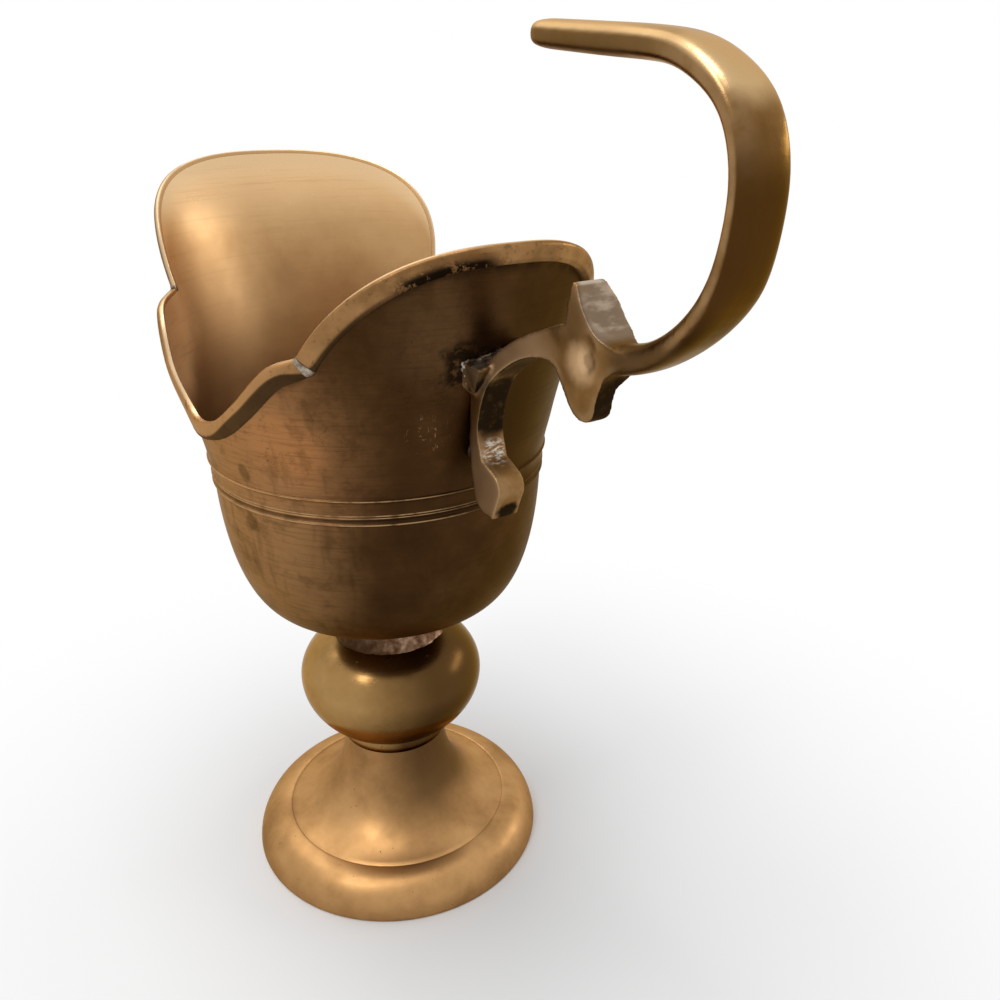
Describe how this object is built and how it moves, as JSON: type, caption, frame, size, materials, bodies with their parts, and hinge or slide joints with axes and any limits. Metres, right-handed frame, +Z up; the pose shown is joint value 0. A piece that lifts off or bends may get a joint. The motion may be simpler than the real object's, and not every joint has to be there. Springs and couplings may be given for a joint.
{
  "type": "pedestal pitcher",
  "caption": "Brass helmet ewer for pouring water: flaring bowl with a lobed, stripped rim, ball knop, trumpet foot and a tall open strap handle on a scroll bracket.",
  "frame": {"origin": "on the table under the middle of the whole pitcher's outline, 33.9 mm from the turning axis towards the handle's side", "axes": "+Z up the turning axis, +X towards the handle, so the spout points to -X; the plane Y = 0 is the mirror plane"},
  "size_m": [0.2028, 0.1068, 0.2496],
  "materials": {
    "turned_brass": "satin, worn bright on the turned ridges",
    "bowl_brass": "aged brown outside, brighter satin inside",
    "lip_brass": "satin, dirt along the lower edge",
    "handle_brass": "hand-polished casting, dark in the hollows",
    "solder": "dull silver solder"
  },
  "bodies": {
    "root": {"foot": "turned_brass", "knop": "turned_brass", "bowl": "bowl_brass", "rim_strip_handle": "lip_brass", "rim_strip_near": "lip_brass", "rim_strip_far": "lip_brass", "rim_strip_spout": "lip_brass", "cusp_solder_rear_near": "solder", "cusp_solder_rear_far": "solder", "cusp_solder_front_near": "solder", "cusp_solder_front_far": "solder", "handle": "handle_brass", "lug_solder": "solder", "back_solder": "solder", "knop_solder": "solder"}
  },
  "joints": []
}
